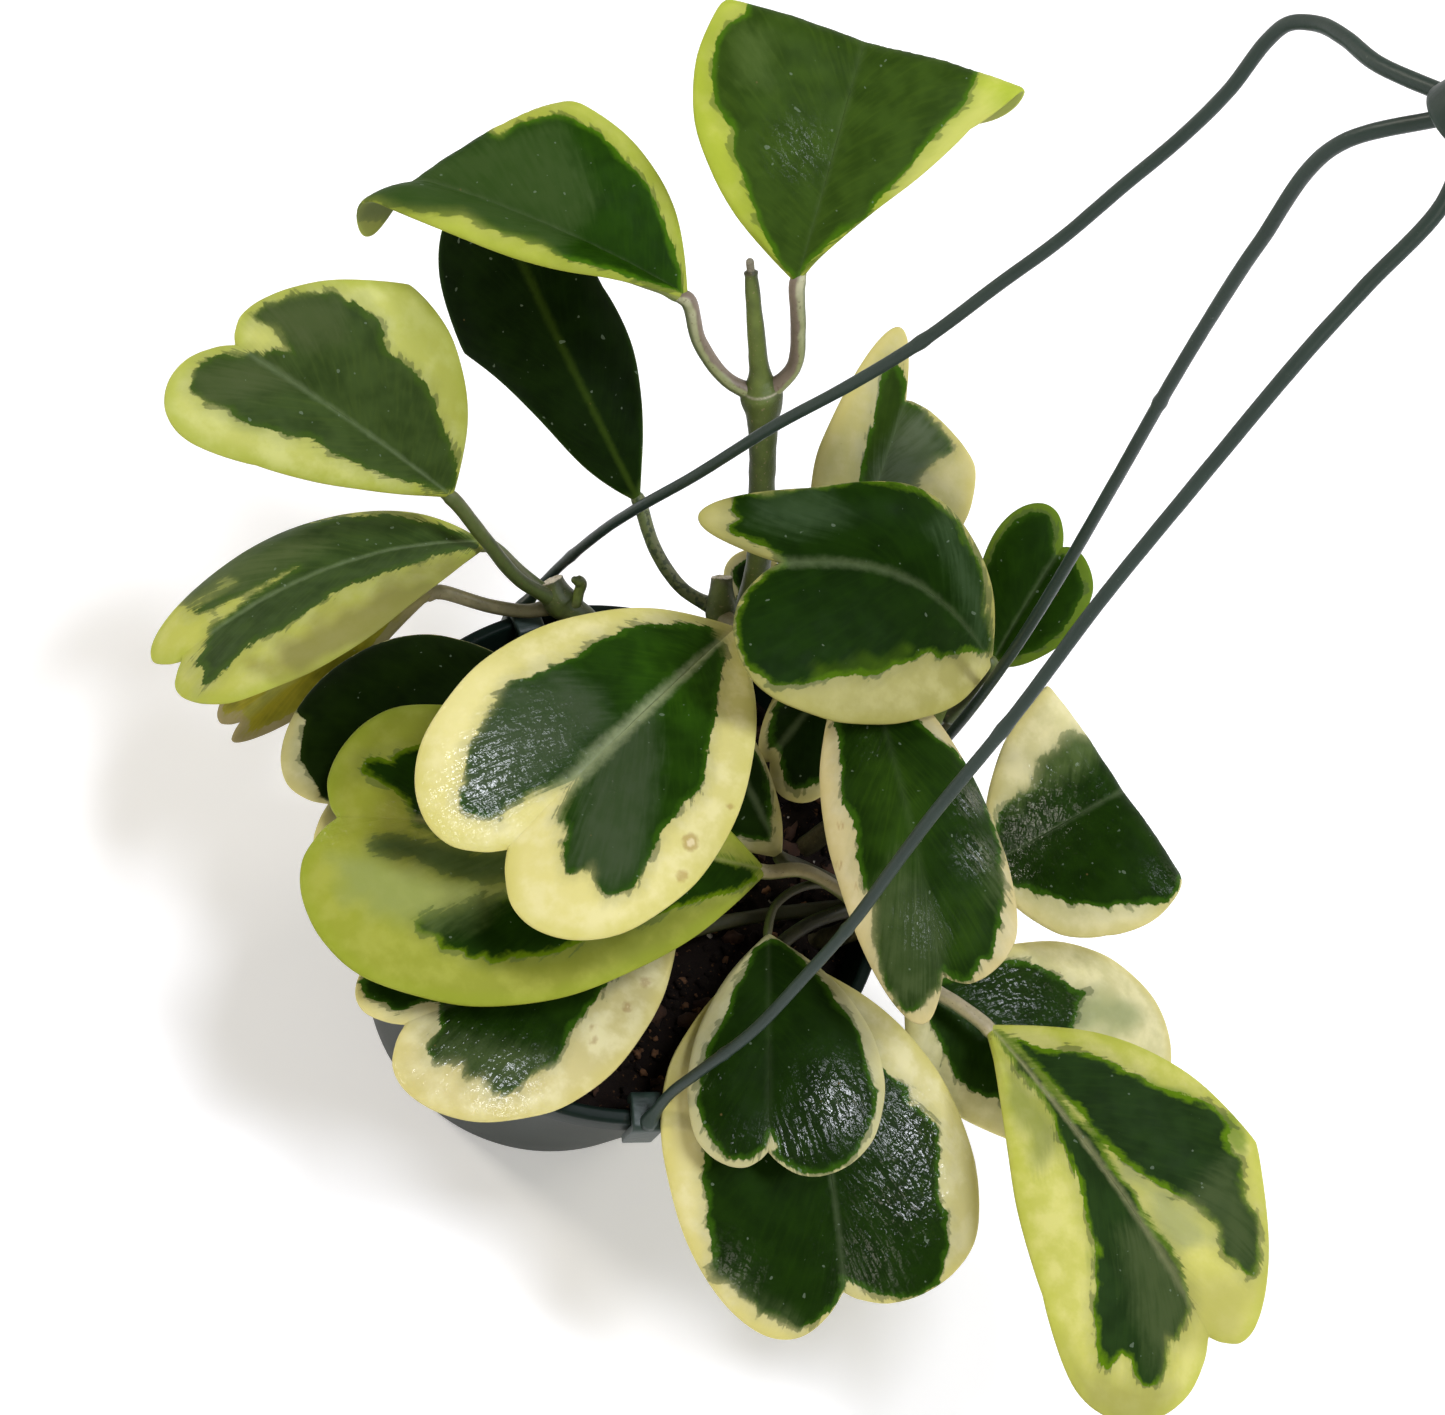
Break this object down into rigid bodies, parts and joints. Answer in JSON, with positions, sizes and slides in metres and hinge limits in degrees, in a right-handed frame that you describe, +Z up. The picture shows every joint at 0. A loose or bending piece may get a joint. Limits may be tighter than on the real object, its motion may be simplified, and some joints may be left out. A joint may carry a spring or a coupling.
{
  "type": "potted variegated sweetheart hoya",
  "caption": "Hanging pot of a variegated sweetheart hoya: thick heart-shaped leaves on woody stems in soil, with a wire hanger that ends in a hook.",
  "frame": {"origin": "middle of the pot's flat base, on the surface that it stands on", "axes": "+Z up along the pot's axis to the rim; +Y away from the viewer, to the back of the pot; +X to the right, the side to which the hanger leans"},
  "size_m": [0.355, 0.2447, 0.441],
  "materials": {
    "pot": "satin dark green moulded plastic",
    "soil": "rough moist bark potting mix with perlite",
    "hanger": "satin grey-green plastic-coated wire",
    "stem": "smooth green bark, woody lower down",
    "leaf_lime": "thick waxy leaf, dark green with a lime-yellow margin",
    "leaf_cream": "thick waxy leaf, dark green with a cream margin",
    "leaf_dark": "thick waxy leaf, almost wholly dark green"
  },
  "bodies": {
    "root": {"pot": "pot", "soil": "soil", "hanger_arm_left": "hanger", "hanger_arm_right": "hanger", "hanger_arm_front": "hanger", "hanger_hub": "hanger", "stem_tall": "stem", "stem_back": "stem", "stem_left": "stem", "stem_right": "stem", "stem_front": "stem", "leaf_big_middle": "leaf_cream", "leaf_top_right": "leaf_lime", "leaf_top_left": "leaf_lime", "leaf_dark_back": "leaf_dark", "leaf_left_upper": "leaf_lime", "leaf_left_middle": "leaf_lime", "leaf_left_lower": "leaf_cream", "leaf_right_upper": "leaf_lime", "leaf_behind_upper": "leaf_cream", "leaf_right_small": "leaf_dark", "leaf_hanging": "leaf_cream", "leaf_right_edge": "leaf_cream", "leaf_right_under": "leaf_cream", "leaf_right_lower": "leaf_lime", "leaf_bottom": "leaf_cream", "leaf_bottom_small": "leaf_cream", "leaf_lime_left": "leaf_lime", "leaf_dark_left": "leaf_dark", "leaf_left_under": "leaf_cream", "leaf_middle_shade": "leaf_cream", "leaf_back_shade": "leaf_cream", "leaf_back_edge": "leaf_cream"}
  },
  "joints": []
}
